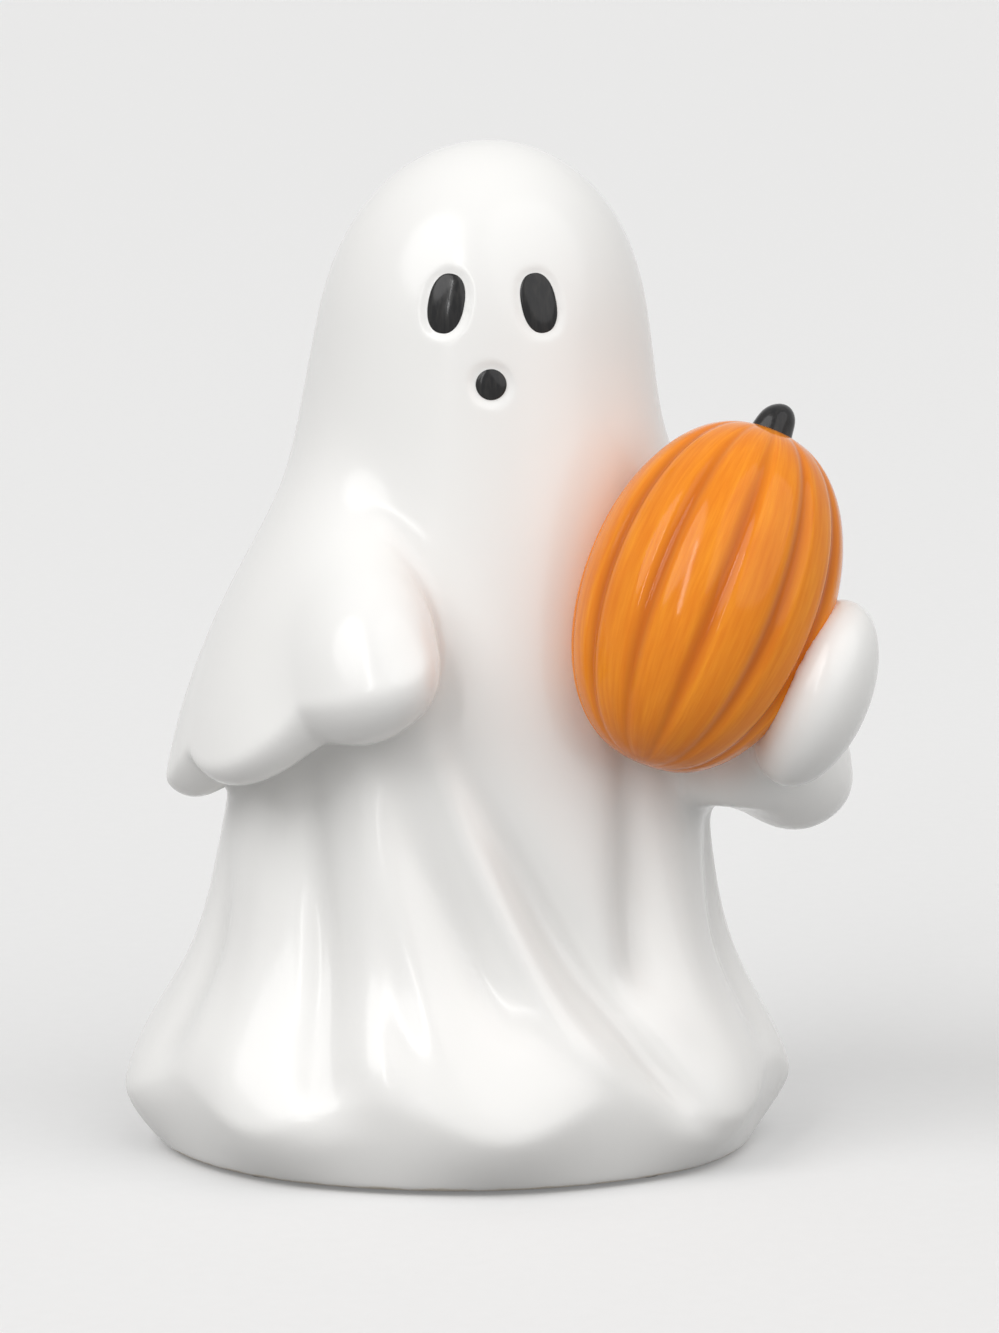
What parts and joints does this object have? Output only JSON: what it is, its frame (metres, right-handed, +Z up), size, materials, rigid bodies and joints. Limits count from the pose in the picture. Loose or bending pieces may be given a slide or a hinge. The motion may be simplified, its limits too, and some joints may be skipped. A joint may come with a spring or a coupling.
{
  "type": "ceramic ghost figure",
  "caption": "Free-standing glazed ceramic ghost in a draped cloak with a scalloped hem, one sleeve held out, carrying a ribbed pumpkin on the other arm.",
  "frame": {"origin": "on the table plane, under the middle of the figure's overall box", "axes": "+Z up, the face looks along -Y, the pumpkin is on the +X side"},
  "size_m": [0.1388, 0.1123, 0.188],
  "materials": {
    "white_glaze": "glossy warm white glaze",
    "orange_glaze": "glossy orange glaze, darker in the grooves",
    "black_glaze": "glossy black glaze",
    "pad_rubber": "matt translucent grey"
  },
  "bodies": {
    "root": {"cloak_shell": "white_glaze", "right_sleeve": "white_glaze", "left_sleeve": "white_glaze", "pumpkin": "orange_glaze", "pumpkin_stem": "black_glaze", "right_eye": "black_glaze", "left_eye": "black_glaze", "mouth": "black_glaze", "foot_pads": "pad_rubber"}
  },
  "joints": []
}
